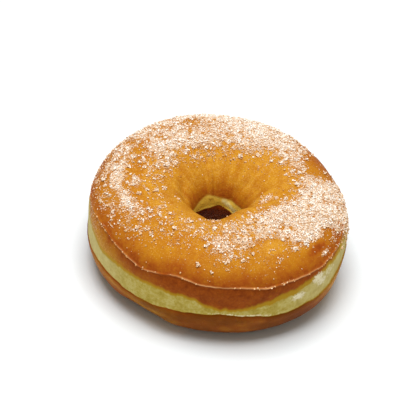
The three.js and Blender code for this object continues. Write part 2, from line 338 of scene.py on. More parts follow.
@dataclass(frozen=True)
class DoughForm:
    """The doughnut's form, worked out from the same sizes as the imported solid."""

    outer_diameter: float = 92.0
    height: float = 34.5
    crown_radius: float = 28.5
    base_radius: float = 27.0
    throat_radius: float = 8.6
    widest_height: float = 22.9
    throat_height: float = 18.5
    flattened: float = 0.5
    shoulder_fullness: float = 2.4
    foot_fullness: float = 3.5
    funnel_fullness: float = 1.8
    inner_foot_fullness: float = 2.3
    outline_waves: tuple[tuple[int, float, float], ...] = ((2, 135, 0.0186), (3, 88, 0.0212))
    high_side: float = 180.0
    high_side_share: float = 0.011
    bulges: tuple[Bulge, ...] = (
        Bulge(262, 55, 1.5, 0.2),
        Bulge(318, 29, 1.2, 1.0),
        Bulge(50, 15, 1.1, 0.0),
    )
    lip: WallLine = WallLine(
        27.8,
        (
            Swell(209, 13, 1.5),
            Swell(238, 7, -1.0),
            Swell(256, 6, 0.8),
            Swell(296, 5, -0.8),
            Swell(348, 14, 1.6),
            Swell(60, 30, 0.7),
        ),
        crinkle=0.3,
        crinkle_length=4.0,
        seed=NoiseSeed.LIP,
    )
    band_top: WallLine = WallLine(
        21.3,
        (
            Swell(190, 15, 5.8),
            Swell(234, 13, 0.7),
            Swell(262, 6, 1.5),
            Swell(280, 18, -2.9),
            Swell(302, 8, 1.2),
            Swell(322, 17, 4.7),
            Swell(348, 16, 6.5),
            Swell(100, 25, 1.6),
            Swell(150, 16, -1.2),
        ),
        crinkle=0.8,
        crinkle_length=3.5,
        seed=NoiseSeed.BAND_TOP,
    )
    band_foot: WallLine = WallLine(
        14.3,
        (
            Swell(237, 15, -2.1),
            Swell(278, 10, 1.4),
            Swell(303, 8, -1.0),
            Swell(345, 16, 6.0),
            Swell(75, 22, -1.2),
            Swell(135, 14, 1.6),
        ),
        crinkle=0.5,
        crinkle_length=3.5,
        seed=NoiseSeed.BAND_FOOT,
    )
    throat_band_top: float = 168.0
    throat_band_foot: float = 184.0
    lip_rise: float = 0.36
    lip_half_width: float = 0.28
    lip_wholeness: float = 0.75
    lip_patchiness: float = 0.9
    lip_patch_mm: float = 16.0
    wall_setback: float = 0.22
    wall_ramp: float = 0.7
    foot_bulge: float = 0.28
    foot_ramp: float = 0.9
    foot_bulge_depth: float = 9.0
    foot_rim: float = 0.18
    foot_rim_half_width: float = 0.3
    heel_dent: Patch = Patch(238, -50, (13, 24), 1.1)
    throat_step: float = 0.35
    throat_step_degrees: float = 4.0
    uneven_waves: tuple[tuple[int, int, float, float], ...] = (
        (2, 1, 40, 0.22),
        (5, -1, 200, 0.16),
        (9, 2, 90, 0.09),
    )
    flat_base_fade: float = 5.0
    folds: tuple[Fold, ...] = (
        Fold((336, 160), (366, 106), 1.6, 1.0),
        Fold((165, 138), (198, 152), 2.0, 0.6),
        Fold((62, 172), (48, 140), 1.8, 0.45),
        Fold((112, 172), (109, 136), 0.9, -0.5),
        Fold((262, 170), (250, 128), 2.0, 0.5),
    )
    funnel_mm_per_degree: float = 0.3
    slope_step: float = 0.5

    def outline_radius(self, azimuth: Array) -> Array:
        """Radius of the ring's slightly uneven outline.

        Args:
            azimuth: azimuths in degrees.

        Returns:
            Radii in mm.
        """
        share = 1 + sum(
            amount * np.cos(np.radians(lobes * (azimuth - peak)))
            for lobes, peak, amount in self.outline_waves
        )
        return self.outer_diameter / 2 * share

    def height_share(self, azimuth: Array) -> Array:
        """How much taller than the mean the ring is."""
        return 1 + self.high_side_share * np.cos(np.radians(azimuth - self.high_side))

    def throat_at(self, azimuth: Array) -> tuple[Array, Array]:
        """The throat and the funnel over it, with the bulges of the inner wall.

        Args:
            azimuth: azimuths in degrees.

        Returns:
            Radii of the throat in mm, and the fullness of the funnel.
        """
        shares = [bulge.share(azimuth) for bulge in self.bulges]
        reach = sum(bulge.reach * share for bulge, share in zip(self.bulges, shares))
        extra = sum(bulge.fullness * share for bulge, share in zip(self.bulges, shares))
        return self.throat_radius - reach, self.funnel_fullness + extra

    def plain_section(self, azimuth: Array, section: Array) -> tuple[Array, Array]:
        """The plain section, a superellipse quarter by quarter.

        Args:
            azimuth: azimuths in degrees.
            section: section angles in degrees.

        Returns:
            Radii and heights in mm.
        """
        across, up = np.cos(np.radians(section)), np.sin(np.radians(section))
        outer, upper = across >= 0, up >= 0
        throat_radius, funnel_fullness = self.throat_at(azimuth)
        fullness = np.where(
            outer,
            np.where(upper, self.shoulder_fullness, self.foot_fullness),
            np.where(upper, funnel_fullness, self.inner_foot_fullness),
        )
        scale = (np.abs(across) ** fullness + np.abs(up) ** fullness) ** (-1 / fullness)
        middle = np.where(upper, self.crown_radius, self.base_radius)
        reach = np.where(outer, self.outline_radius(azimuth) - middle, middle - throat_radius)
        level = np.where(outer, self.widest_height, self.throat_height)
        rise = np.where(upper, self.height - level, level + self.flattened)
        radius = middle + reach * across * scale
        height = np.maximum(level + rise * up * scale, 0) * self.height_share(azimuth)
        return radius, height

    def section_at_height(self, azimuth: Array, height: Array) -> Array:
        """Section angle at which the outer wall passes a height.

        Args:
            azimuth: azimuths in degrees.
            height: heights in mm.

        Returns:
            Section angles in degrees.
        """
        above = height / self.height_share(azimuth) - self.widest_height
        upper = above >= 0
        up = above / np.where(
            upper, self.height - self.widest_height, self.widest_height + self.flattened
        )
        fullness = np.where(upper, self.shoulder_fullness, self.foot_fullness)
        across = (1 - np.abs(up) ** fullness) ** (1 / fullness)
        return np.degrees(np.arctan2(up, across))

    def fold_depth(self, azimuth: Array, section: Array, radius: Array) -> Array:
        """How deep the folds of the funnel are at places of the skin.

        Args:
            azimuth: azimuths in degrees.
            section: section angles in degrees.
            radius: radii of those places in mm.

        Returns:
            Depths in mm.
        """
        depth = np.zeros(section.shape)
        for fold in self.folds:
            ahead = np.radians(turn_between(azimuth, fold.start[0])) * radius
            down = (section - fold.start[1]) * self.funnel_mm_per_degree
            line_ahead = np.radians(fold.end[0] - fold.start[0]) * radius
            line_down = (fold.end[1] - fold.start[1]) * self.funnel_mm_per_degree
            along = (ahead * line_ahead + down * line_down) / (line_ahead**2 + line_down**2)
            along = np.clip(along, 0, 1)
            away = np.hypot(ahead - along * line_ahead, down - along * line_down)
            depth += fold.depth * np.exp(-((away / fold.half_width) ** 2))
        return depth

    def relief(self, azimuth: Array, section: Array, radius: Array, height: Array) -> Array:
        """How far the skin stands out from the plain section.

        Args:
            azimuth: azimuths in degrees.
            section: section angles in degrees.
            radius: radii of those places in mm.
            height: heights of those places in mm.

        Returns:
            Distances in mm, outwards.
        """
        base_fade = ramp(height / self.flat_base_fade)
        out = base_fade * sum(
            rise * np.sin(np.radians(lobes * azimuth + turns * section + phase))
            for lobes, turns, phase, rise in self.uneven_waves
        )
        above_lip = height - self.lip.height_at(azimuth)
        above_foot = height - self.band_foot.height_at(azimuth)
        wall = self.lip_rise * self.lip_presence(azimuth)
        wall = wall * np.exp(-((above_lip / self.lip_half_width) ** 2))
        wall -= (
            self.wall_setback
            * ramp(-above_lip / self.wall_ramp)
            * ramp(above_foot / self.foot_ramp + 1)
        )
        bulge = ramp(-above_foot / self.foot_ramp)
        wall += self.foot_bulge * bulge * (1 - ramp(-above_foot / self.foot_bulge_depth))
        wall += self.foot_rim * np.exp(-((above_foot / self.foot_rim_half_width) ** 2))
        wall -= self.heel_dent.at(azimuth, section)
        past_band = (section - self.throat_band_foot) / self.throat_step_degrees
        throat = self.throat_step * ramp(past_band) * base_fade
        throat -= self.fold_depth(azimuth, section, radius)
        return out + np.where(on_wall(section), wall, throat)

    def lip_presence(self, azimuth: Array) -> Array:
        """How well the raised lip shows, from 0 where it has flaked off to 1."""
        patches = rim_noise(azimuth, self.lip_patch_mm, NoiseSeed.LIP_FLAKES)
        return ramp(self.lip_wholeness + self.lip_patchiness * patches)

    def places(self, azimuth: Array, section: Array) -> tuple[Array, Array]:
        """Points of the skin and the directions out of the dough there.

        Args:
            azimuth: azimuths in degrees.
            section: section angles in degrees.

        Returns:
            Points in mm and unit directions, each with x, y, z last.
        """
        radius, height = self.plain_section(azimuth, section)
        radius_before, height_before = self.plain_section(azimuth, section - self.slope_step)
        radius_after, height_after = self.plain_section(azimuth, section + self.slope_step)
        out_r, out_z = height_after - height_before, radius_before - radius_after
        length = np.hypot(out_r, out_z)
        out_r, out_z = out_r / length, out_z / length
        out = self.relief(azimuth, section, radius, height)
        radius, height = radius + out_r * out, np.maximum(height + out_z * out, 0)
        angle = np.radians(azimuth)
        points = np.stack([np.cos(angle) * radius, np.sin(angle) * radius, height], axis=-1)
        outwards = np.stack([np.cos(angle) * out_r, np.sin(angle) * out_r, out_z], axis=-1)
        return points, outwards

    def shift(self) -> Array:
        """Finds the move that puts the form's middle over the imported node's.

        Returns:
            The move in the plane of the floor, in mm.
        """
        azimuth, section = np.meshgrid(np.arange(0, 360, 1.0), np.arange(-90, 270, 1.0))
        points, _ = self.places(azimuth, section)
        flat = points[..., :2].reshape(-1, 2)
        low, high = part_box(NODE)
        return np.array((low + high) / 2)[:2] / MM - (flat.min(0) + flat.max(0)) / 2


# Finishes


def shades(tree: bpy.types.NodeTree, value: Any, stops: Sequence[tuple[float, str]]) -> Any:
    """Turns a value into a colour between stops.

    Args:
        tree: the material's node tree.
        value: the socket that carries the value.
        stops: pairs of a place from 0 to 1 and its hex colour.

    Returns:
        The colour, as a socket.
    """
    node = add_node(tree, "ShaderNodeValToRGB", {"Fac": value})
    elements = node.color_ramp.elements
    while len(elements) < len(stops):
        elements.new(0.5)
    for element, (position, colour) in zip(elements, stops):
        element.position, element.color = position, linear(colour)
    return node.outputs["Color"]


def stirred(
    tree: bpy.types.NodeTree, value: Any, patterns: Iterable[tuple[Any, float]]
) -> Any:
    """Adds patterns to a value, each about its own middle.

    Args:
        tree: the material's node tree.
        value: the socket that carries the value.
        patterns: pairs of a pattern's socket and how much it adds.

    Returns:
        The stirred value, as a socket.
    """
    for pattern, amount in patterns:
        raised = add_node(
            tree, "ShaderNodeMath", {0: pattern, 1: amount, 2: value}, operation="MULTIPLY_ADD"
        )
        value = add_node(
            tree, "ShaderNodeMath", {0: raised.outputs[0], 1: amount / 2}, operation="SUBTRACT"
        ).outputs[0]
    return value


@dataclass(frozen=True)
class FriedCrust:
    """Fried yeast dough: an oil-browned crust, matt to softly glossy, over a pale steamed band.

    The eye sees amber that deepens to chestnut towards the lip and under it, mottled in spots of
    gold and russet, and a creamy yellow band whose upper edge the oil has stained olive-gold.

    Sizes of patterns are in mm. A pair named spread holds the values at which a tint begins and at
    which it is full. A pair named stir holds how much each of two patterns roughens a tint's edge.
    """

    name: str = "fried_yeast_dough"
    browns: tuple[tuple[float, str], ...] = (
        (0.0, "D49C2A"),
        (0.3, "B57119"),
        (0.58, "9C4C16"),
        (0.8, "78320F"),
        (1.0, "4E1808"),
    )
    bands: tuple[tuple[float, str], ...] = (
        (0.3, "AC943C"),
        (0.5, "BEA852"),
        (0.7, "CABA70"),
    )
    gold: str = "C08414"
    underside: str = "703C06"
    stain: str = "B8921E"
    # cream of the band's sides: drier crumb, made lighter still with painted light
    dry_and_lit_crumb: str = "DED09C"
    # cream of torn crumb, which also paints the highlight along the band's lower edge
    torn_crumb_and_highlight: str = "F2E6C4"
    # the throat band's crumb, brighter than the outer band's: pale crumb with painted light in the
    # shaded hole
    lit_steamed_crumb: str = "F4CE50"
    lit_crumb: str = "FFF8B4"
    glint: str = "EEC070"
    # the lip's light line is a painted highlight along the raised lip
    lip: str = "EDB47A"
    sugar_haze: str = "E6D2B8"
    drift_mm: float = 8.0
    mottle_mm: float = 3.2
    speckle_mm: float = 0.9
    pore_mm: float = 0.4
    pattern_detail: float = 3.0
    pattern_roughness: float = 0.6
    browning_stir: tuple[float, float] = (0.45, 0.32)
    edge_stir: tuple[float, float] = (0.3, 0.45)
    haze_stir: tuple[float, float] = (1.8, 1.0)
    torn_stir: tuple[float, float] = (1.6, 1.2)
    spot_stir: float = 0.8
    gold_stir: float = 0.7
    gold_in_brown: float = -0.5
    glint_in_brown: float = -0.4
    gold_spread: tuple[float, float] = (0.56, 0.7)
    glint_spread: tuple[float, float] = (0.62, 0.76)
    stain_spread: tuple[float, float] = (0.1, 0.95)
    cream_spread: tuple[float, float] = (0.15, 0.9)
    torn_spread: tuple[float, float] = (0.1, 0.9)
    haze_spread: tuple[float, float] = (0.3, 0.75)
    gold_share: float = 0.3
    glint_share: float = 0.4
    stain_share: float = 0.85
    clean_below: float = 0.15
    relief_stir: tuple[float, float] = (0.5, 0.8)
    relief_mm: float = 0.25
    relief_strength: float = 0.6
    roughness: float = 0.5
    band_roughness: float = 0.8
    gloss: float = 0.06
    gloss_tint: str = "FFC070"
    refraction: float = 1.45

    def build(self) -> bpy.types.Material:
        """Makes the material.

        Returns:
            The crust's material, which reads the skin's attributes.
        """
        material = bpy.data.materials.new(self.name)
        material.use_nodes = True
        tree = material.node_tree
        tree.nodes.clear()
        place = add_node(tree, "ShaderNodeTexCoord").outputs["Object"]
        drift, mottle, speckle, pores = (
            add_node(
                tree,
                "ShaderNodeTexNoise",
                {
                    "Vector": place,
                    "Scale": 1 / (size * MM),
                    "Detail": self.pattern_detail,
                    "Roughness": self.pattern_roughness,
                },
            ).outputs["Fac"]
            for size in (self.drift_mm, self.mottle_mm, self.speckle_mm, self.pore_mm)
        )
        skin = {
            name: add_node(tree, "ShaderNodeAttribute", attribute_name=name).outputs["Fac"]
            for name in SKIN_ATTRIBUTES
        }
        browned = skin["browning"]
        brown = stirred(tree, browned, zip((mottle, speckle), self.browning_stir))
        crust = shades(tree, brown, self.browns)
        pale = stirred(tree, skin["paleness"], zip((mottle, speckle), self.edge_stir))
        oiled = stirred(tree, skin["stain"], zip((mottle, speckle), self.edge_stir))
        dust = stirred(tree, skin["haze"], zip((pores, speckle), self.haze_stir))
        # Past clean_below both gates are open; where the attribute is 0 the patterns show nothing.
        dusty, ragged = (
            add_node(
                tree, "ShaderNodeMapRange", {"Value": skin[name], "From Max": self.clean_below}
            ).outputs[0]
            for name in ("haze", "torn")
        )
        torn = stirred(tree, skin["torn"], zip((speckle, pores), self.torn_stir))
        glints = stirred(tree, pores, ((browned, self.glint_in_brown),))
        gold = stirred(tree, drift, ((speckle, self.gold_stir), (browned, self.gold_in_brown)))
        spots = stirred(tree, mottle, ((speckle, self.spot_stir),))
        band = shades(tree, spots, self.bands)
        gilded, glinting, stained, creamy, torn_and_highlight, dusted = (
            add_node(
                tree,
                "ShaderNodeMapRange",
                {"Value": value, "From Min": spread[0], "From Max": spread[1], "To Max": most},
                interpolation_type="SMOOTHSTEP",
            ).outputs["Result"]
            for value, spread, most in (
                (gold, self.gold_spread, self.gold_share),
                (glints, self.glint_spread, self.glint_share),
                (oiled, self.stain_spread, self.stain_share),
                (pale, self.cream_spread, 1.0),
                (torn, self.torn_spread, ragged),
                (dust, self.haze_spread, dusty),
            )
        )
        surface = crust
        # Inputs 6 and 7 of a mix of colours are its two colours.
        for share, colour in (
            (gilded, linear(self.gold)),
            (glinting, linear(self.glint)),
            (skin["underside"], linear(self.underside)),
            (stained, linear(self.stain)),
            (creamy, band),
            # the throat band: pale crumb with painted light
            (skin["steamed"], linear(self.lit_steamed_crumb)),
            (skin["glow"], linear(self.lit_crumb)),
            # the band's sides: drier crumb and painted light
            (skin["dryness"], linear(self.dry_and_lit_crumb)),
            (dusted, linear(self.sugar_haze)),
            # torn crumb, and the painted highlight along the band's lower edge
            (torn_and_highlight, linear(self.torn_crumb_and_highlight)),
            # the lip: a painted highlight along the raised lip
            (skin["lip"], linear(self.lip)),
        ):
            surface = add_node(
                tree, "ShaderNodeMix", {"Factor": share, 6: surface, 7: colour}, data_type="RGBA"
            ).outputs[2]
        rough = add_node(
            tree,
            "ShaderNodeMapRange",
            {"Value": pale, "To Min": self.roughness, "To Max": self.band_roughness},
        )
        relief = stirred(tree, speckle, zip((pores, mottle), self.relief_stir))
        bump = add_node(
            tree,
            "ShaderNodeBump",
            {"Strength": self.relief_strength, "Distance": self.relief_mm * MM, "Height": relief},
        )
        shader = add_node(
            tree,
            "ShaderNodeBsdfPrincipled",
            {
                "Base Color": surface,
                "Roughness": rough.outputs["Result"],
                "IOR": self.refraction,
                "Specular IOR Level": self.gloss,
                "Specular Tint": linear(self.gloss_tint),
                "Normal": bump.outputs["Normal"],
            },
        )
        add_node(tree, "ShaderNodeOutputMaterial", {"Surface": shader.outputs["BSDF"]})
        return material


@dataclass(frozen=True)
class Crystal:
    """Crystals that scatter light at their broken faces, tinted one by one.

    The eye sees small bright chips, from warm and see-through to chalk white. Each face is painted
    by the way it looks: paler on top as a painted highlight, and warmer gold on the sides as
    painted light of the crust shining through. The real frosting of a broken face is too fine to
    show, so frost_mm is as coarse as it needs to be seen.
    """

    name: str
    tints: tuple[tuple[float, str], ...]
    roughness: float = 0.35
    gloss: float = 0.5
    refraction: float = 1.54
    frost_mm: float = 0.5
    frost_whiteness: float = 0.3
    frost_roughness: float = 0.1
    # painted light by facing: upper faces paler, sides warmer gold
    facing_light: float = 0.7

    def build(self) -> bpy.types.Material:
        """Makes the material.

        Returns:
            A material that reads each grain's own whiteness.
        """
        material = bpy.data.materials.new(self.name)
        material.use_nodes = True
        tree = material.node_tree
        tree.nodes.clear()
        place = add_node(tree, "ShaderNodeTexCoord").outputs
        frost = add_node(
            tree,
            "ShaderNodeTexNoise",
            {"Vector": place["Object"], "Scale": 1 / (self.frost_mm * MM), "Detail": 1.0},
        ).outputs["Fac"]
        # painted light: faces that look up are made paler and the sides warmer gold
        facing = add_node(tree, "ShaderNodeSeparateXYZ", {0: place["Normal"]}).outputs["Z"]
        whiteness = add_node(tree, "ShaderNodeAttribute", attribute_name="whiteness")
        value = stirred(
            tree,
            whiteness.outputs["Fac"],
            ((frost, self.frost_whiteness), (facing, self.facing_light)),
        )
        colour = shades(tree, value, self.tints)
        rough = add_node(
            tree,
            "ShaderNodeMapRange",
            {
                "Value": frost,
                "To Min": self.roughness - self.frost_roughness,
                "To Max": self.roughness + self.frost_roughness,
            },
        )
        shader = add_node(
            tree,
            "ShaderNodeBsdfPrincipled",
            {
                "Base Color": colour,
                "Roughness": rough.outputs["Result"],
                "IOR": self.refraction,
                "Specular IOR Level": self.gloss,
            },
        )
        add_node(tree, "ShaderNodeOutputMaterial", {"Surface": shader.outputs["BSDF"]})
        return material


GRANULATED_SUGAR = Crystal(
    "granulated_sugar",
    ((0.0, "C48A42"), (0.35, "DFB07A"), (0.7, "EACFB0"), (1.0, "F7F2EA")),
)
DRIED_CRUMB = Crystal(
    "dried_crumb",
    ((0.0, "D69A58"), (0.5, "EDBE86"), (1.0, "FBE6C6")),
    roughness=0.6,
    gloss=0.3,
    refraction=1.45,
)


# Sugar


class GrainShape(Enum):
    """The shapes that a grain of sugar can have."""

    CHIP = "chip"
    BLOCK = "block"
    SPLINTER = "splinter"


@dataclass(frozen=True)
class Scatter:
    """How one sort of grain lies: its sizes and spacing in mm, and most grains to a square mm."""

    name: str
    shape: GrainShape
    smallest: float
    largest: float
    spacing: float
    most_per_mm2: float
    where: str
    seed: int
    finish: Crystal = GRANULATED_SUGAR


@dataclass(frozen=True)
class SugarCover:
    """Where the sugar lies on the skin: oval heaps and dustings, and places that stayed bare."""

    heaps: tuple[Patch, ...] = (
        Patch(352, 72, (28, 32), 1.0),
        Patch(0, 34, (18, 26), 0.75),
        Patch(330, 101, (18, 16), 0.75),
        Patch(304, 104, (32, 17), 0.68),
        Patch(327, 74, (15, 15), 0.8),
        Patch(320, 62, (9, 6), 0.6),
        Patch(310, 86, (16, 10), 0.4),
        Patch(277, 80, (13, 18), 0.45),
        Patch(262, 112, (18, 22), 0.3),
        Patch(238, 94, (28, 20), 0.32),
        Patch(216, 78, (12, 18), 0.4),
        Patch(203, 70, (12, 9), 0.85),
        Patch(188, 82, (7, 10), 0.75),
        Patch(183, 63, (12, 9), 0.8),
        Patch(196, 52, (18, 16), 0.3),
        Patch(190, 104, (26, 14), 0.2),
        Patch(168, 60, (14, 22), 0.5),
        Patch(168, 38, (24, 26), 0.3),
        Patch(150, 97, (28, 20), 0.5),
        Patch(136, 62, (24, 38), 0.7),
        Patch(108, 92, (36, 16), 0.65),
        Patch(98, 52, (26, 26), 0.85),
        Patch(71, 66, (28, 38), 0.97),
        Patch(105, 112, (56, 16), 0.36),
        Patch(44, 76, (14, 22), 0.6),
        Patch(28, 88, (26, 14), 0.5),
        Patch(12, 58, (12, 14), 0.4),
        Patch(2, 134, (9, 9), 0.4),
        Patch(198, 131, (8, 4), 0.4),
        Patch(290, 68, (26, 20), 0.2),
        Patch(333, 57, (3, 5), 0.8),
        Patch(328, 38, (4, 4), 0.7),
    )
    bare: tuple[Patch, ...] = (
        Patch(108, 66, (12, 9), 0.4),
        Patch(155, 73, (6, 8), 0.6),
        Patch(174, 82, (6, 8), 0.35),
        Patch(29, 58, (12, 16), 0.75),
        Patch(301, 72, (10, 12), 0.7),
        Patch(326, 47, (12, 7), 0.9),
        Patch(337, 52, (4, 7), 0.6),
        Patch(10, 105, (14, 10), 0.5),
    )

    def share(self, azimuth: Array, section: Array) -> Array:
        """Share of the skin that sugar covers.

        Args:
            azimuth: azimuths in degrees.
            section: section angles in degrees.

        Returns:
            Shares from 0 to 1.
        """
        uncovered = np.prod([1 - heap.at(azimuth, section) for heap in self.heaps], axis=0)
        return (1 - uncovered) * np.prod([1 - gap.at(azimuth, section) for gap in self.bare], axis=0)


@dataclass(frozen=True)
class SugarFall:
    """How loose sugar settles: in lumps with gaps between them, finer dust and a few strays.

    Sizes are in mm. The dustings are places where only fine grains lie, and dusty_wall is where a
    thin haze has run down the wall. A pair named strays holds the section angle where strays begin
    or end and the angle over which they fade.
    """

    cover: SugarCover = SugarCover()
    dustings: tuple[Patch, ...] = (
        Patch(356, 132, (6, 5), 0.9),
        Patch(1, 126, (5, 6), 0.9),
        Patch(330, 123, (5, 4), 0.6),
        Patch(198, 131, (8, 4), 0.5),
        Patch(204, 60, (26, 24), 0.42),
        Patch(232, 76, (22, 20), 0.3),
        Patch(282, 87, (18, 15), 0.78),
    )
    dusty_wall: Patch = Patch(196, 14, (14, 18), 0.32)
    lump_mm: float = 2.4
    drift_mm: float = 8.0
    drift_octaves: int = 2
    drift_share: float = 0.4
    clod_mm: float = 2.0
    clod_crowd: float = 0.8
    clod_unevenness: float = 0.6
    most_covered: float = 0.9
    least_covered: float = 0.01
    gap_spread: float = 0.6
    gap_softness: float = 0.5
    nearly_bare: float = 0.06
    unclustered: float = 0.22
    grains_in_thin: float = 0.35
    grains_in_thick: float = 0.65
    even_dust: float = 0.42
    even_dust_power: float = 0.8
    heaped_dust: float = 0.58
    haze: float = 0.9
    haze_in_gaps: float = 0.2
    haze_in_lumps: float = 0.8
    stray: float = 0.005
    stray_dust: float = 2.0
    strays_begin: tuple[float, float] = (22.0, 14.0)
    strays_end: tuple[float, float] = (150.0, 30.0)

    def attributes(self, azimuth: Array, section: Array, points: Array) -> dict[str, Array]:
        """What the grains and the haze read at each point of the skin.

        Args:
            azimuth: azimuths in degrees.
            section: section angles in degrees.
            points: points of the skin in mm.

        Returns:
            Attribute name to values from 0 to 1.
        """
        fine = strongest(self.dustings, azimuth, section)
        share = np.maximum(self.cover.share(azimuth, section), fine)
        pattern = field_noise(points, self.lump_mm, NoiseSeed.LUMPS)
        drifts = field_noise(points, self.drift_mm, NoiseSeed.DRIFTS, self.drift_octaves)
        heaped = self.clustered(share, pattern + self.drift_share * drifts)
        heaped = heaped * (1 - self.unclustered) + share * self.unclustered
        begun = ramp((section - self.strays_begin[0]) / self.strays_begin[1])
        strayed = self.stray * begun * ramp((self.strays_end[0] - section) / self.strays_end[1])
        clods = field_noise(points, self.clod_mm, NoiseSeed.CLODS)
        haze = self.haze * share * (self.haze_in_gaps + self.haze_in_lumps * heaped)
        even = self.even_dust * share**self.even_dust_power
        return {
            "haze": np.maximum(haze, self.dusty_wall.at(azimuth, section)),
            "crowd": share * heaped * (self.clod_crowd + self.clod_unevenness * clods),
            "sugar": heaped * (self.grains_in_thin + self.grains_in_thick * share) + strayed,
            "dusting": even + self.heaped_dust * heaped * share + self.stray_dust * strayed,
        }

    def clustered(self, share: Array, pattern: Array) -> Array:
        """Breaks an even cover into clusters with gaps.

        Args:
            share: share of the skin that sugar covers.
            pattern: a noise pattern about 0.

        Returns:
            Density from 0 to 1, near 1 on the share of the skin where the pattern is highest.
        """
        spread = pattern.std()
        covered = np.clip(share, self.least_covered, self.most_covered)
        threshold = self.gap_spread * spread * np.log((1 - covered) / covered)
        soft = self.gap_softness * spread
        lumps = ramp((pattern - threshold + soft) / (2 * soft))
        return lumps * ramp(share / self.nearly_bare)


@dataclass(frozen=True)
class ClumpRule:
    """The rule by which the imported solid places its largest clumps, repeated number by number."""

    cover: SugarCover = SugarCover()
    sections: tuple[float, float] = (40, 122)
    count: int = 222
    spacing: float = 2.3
    largest: float = 1.5
    smallest: float = 0.9
    seed: int = 95

    def clumps(self, form: DoughForm) -> list[tuple[Vector, Vector, float, float]]:
        """Finds the clumps.

        Args:
            form: the dough that they lie on.

        Returns:
            For each clump its place on the skin, the direction out of the dough, its size and how
            much of the skin round it sugar covers.
        """
        draw = random_stream(self.seed)
        low, high = self.sections
        found: list[tuple[Vector, Vector, float]] = []
        while len(found) < self.count:
            azimuth = draw() * 360
            section = low + (high - low) * draw()
            point, outwards = form.places(np.array(azimuth), np.array(section))
            place = Vector(point)
            evenness = place.xy.length / (form.outer_diameter / 2)
            share = float(self.cover.share(azimuth, section))
            wanted = draw() < share * evenness
            if wanted and all((place - other[0]).length > self.spacing for other in found):
                found.append((place, Vector(outwards), share))
        fall = (self.largest - self.smallest) / self.count
        return [
            (place, outwards, self.largest - fall * index, share)
            for index, (place, outwards, share) in enumerate(found)
        ]


# Sub-assemblies


@dataclass(frozen=True)
class BrowningAndPaintedLight:
    """How dark the crust is, from oil browning and painted light and shade: 0 golden, 1 darkest.

    Lengths are in mm and angles in degrees. A stretch's second value is what its darker or lighter
    end adds, and its length or angle is how far that reaches.
    """

    form: DoughForm = DoughForm()
    crown: float = 0.3
    crown_edge: float = 0.28
    crown_edge_mm: float = 6.0
    wall: float = 0.54
    wall_front: float = 0.14
    wall_low: float = -0.06
    wall_low_mm: float = 6.0
    front: Patch = Patch(280, 0, (50, 200), 1.0)
    foot: float = 0.58
    # painted contact shadow: the foot darkens as it nears the floor
    foot_contact_shade: float = 0.08
    foot_contact_shade_mm: float = 8.0
    # painted shadow: a darker line along the band's lower edge
    foot_edge_shadow: float = 0.3
    foot_edge_shadow_mm: float = 0.8
    foot_streaks: float = -0.12
    # painted bounce light from the floor: a lighter line just above it
    heel_bounce_light: float = -0.06
    heel_bounce_light_height: float = 1.0
    mid_band_mm: float = 2.0
    funnel: float = 0.22
    funnel_low: float = 0.24
    funnel_low_from: float = 142.0
    funnel_low_degrees: float = 24.0
    # throat: the hole's wall below its band, fried crust darkened further with painted shade
    throat: float = 0.78
    base: float = 0.65
    base_from: float = 225.0
    base_degrees: float = 30.0
    tones: tuple[Patch, ...] = (
        Patch(325, 47, (7, 5), 0.24),
        Patch(303, 72, (9, 9), -0.12),
        Patch(33, 55, (13, 22), 0.05),
        Patch(244, -40, (12, 40), -0.3),
        Patch(200, 8, (14, 26), -0.16),
        Patch(338, -40, (22, 60), -0.3),
        Patch(214, -34, (20, 50), -0.3),
        # the next three patches are painted contact shadow where the foot meets the floor
        Patch(306, -58, (26, 16), 0.3),
        Patch(317, -34, (13, 9), 0.3),
        Patch(221, -41, (14, 10), 0.3),
    )

    def at(self, azimuth: Array, section: Array, height: Array, foot_streaks: Array) -> Array:
        """How deeply the crust is browned, with painted light and shade added.

        Args:
            azimuth: azimuths in degrees.
            section: section angles in degrees.
            height: heights of those places in mm.
            foot_streaks: the foot's streaks there, about -1 to 1.

        Returns:
            Values of about 0 to 1.
        """
        browned = np.where(
            on_wall(section),
            self.outside(azimuth, section, height, foot_streaks),
            self.inside(section),
        )
        return browned + sum(tone.at(azimuth, section) for tone in self.tones)

    def outside(self, azimuth: Array, section: Array, height: Array, foot_streaks: Array) -> Array:
        """How browned the crown, wall and foot are, with painted light and shade on the foot.

        Args:
            azimuth: azimuths in degrees.
            section: section angles in degrees.
            height: heights of those places in mm.
            foot_streaks: the foot's streaks there, about -1 to 1.

        Returns:
            Values of about 0 to 1.
        """
        lip = self.form.lip.height_at(azimuth)
        band_foot = self.form.band_foot.height_at(azimuth)
        near_lip = ramp((lip + self.crown_edge_mm - height) / self.crown_edge_mm)
        crown = self.crown + self.crown_edge * near_lip
        wall = self.wall + self.wall_front * self.front.at(azimuth, section)
        wall = wall + self.wall_low * ramp((lip - height) / self.wall_low_mm)
        # painted contact shadow: the foot darkens as it nears the floor
        foot = self.foot + self.foot_contact_shade * ramp((self.foot_contact_shade_mm - height) / self.foot_contact_shade_mm)
        # painted shadow: a darker line along the band's lower edge
        foot = foot + self.foot_edge_shadow * np.exp(-(((height - band_foot) / self.foot_edge_shadow_mm) ** 2))
        foot = foot + self.foot_streaks * foot_streaks
        # painted bounce light from the floor: a lighter line just above it
        foot = foot + self.heel_bounce_light * np.exp(-((height - self.heel_bounce_light_height) ** 2))
        below = np.where(height > band_foot + self.mid_band_mm, wall, foot)
        return np.where(height > lip, crown, below)

    def inside(self, section: Array) -> Array:
        """How browned the funnel, the throat and the base are, with painted shade in the throat.

        Args:
            section: section angles in degrees.

        Returns:
            Values of about 0 to 1.
        """
        deep = ramp((section - self.funnel_low_from) / self.funnel_low_degrees)
        funnel = self.funnel + self.funnel_low * deep
        throat_edge = self.form.throat_band_foot - self.form.throat_step_degrees
        # below the throat's band: fried crust and painted shade inside the hole
        inner = np.where(section < throat_edge, funnel, self.throat)
        under = ramp((section - self.base_from) / self.base_degrees)
        return inner * (1 - under) + self.base * under


